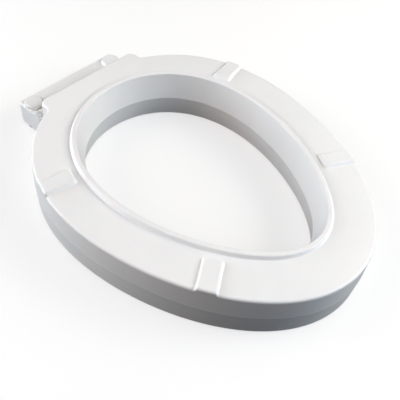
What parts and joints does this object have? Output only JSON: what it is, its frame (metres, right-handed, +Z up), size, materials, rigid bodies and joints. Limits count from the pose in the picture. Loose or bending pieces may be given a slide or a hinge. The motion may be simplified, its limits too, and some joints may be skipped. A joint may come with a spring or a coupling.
{
  "type": "raised toilet seat",
  "caption": "Egg-shaped white riser ring with an inner lip and raised rest pads that lifts on a rear hinge bar bolted to a toilet bowl.",
  "frame": {"origin": "midway between the two bowl bolts, on the plane of the bowl's rim", "axes": "+Z up, -Y towards the nose of the ring, +X to the right of a person facing the hinge bar"},
  "size_m": [0.3664, 0.496, 0.071],
  "materials": {
    "white_shell": "satin blow-moulded white",
    "white_bar": "satin injection-moulded white",
    "black_rubber": "matte",
    "steel": "plain stainless",
    "nylon": "natural nylon"
  },
  "bodies": {
    "bar": {"hinge_bar": "white_bar", "bolt_bushes": "steel", "bolt_covers": "white_bar", "bar_feet": "black_rubber", "hinge_pin_left": "steel", "hinge_pin_right": "steel", "pin_caps": "white_bar", "hinge_washers": "nylon"},
    "ring": {"ring_top": "white_shell", "ring_base": "white_shell", "bumpers": "black_rubber", "bumper_screws": "steel", "drain_plugs": "nylon", "ear_left": "nylon", "ear_right": "nylon", "ear_screws": "steel", "ear_bushes": "nylon"}
  },
  "joints": [
    {"name": "ring_lift", "type": "hinge", "parent": "bar", "child": "ring", "pos_m": [0, -0.02, 0.032], "axis": [-1, 0, 0], "range_deg": [0, 90]}
  ]
}
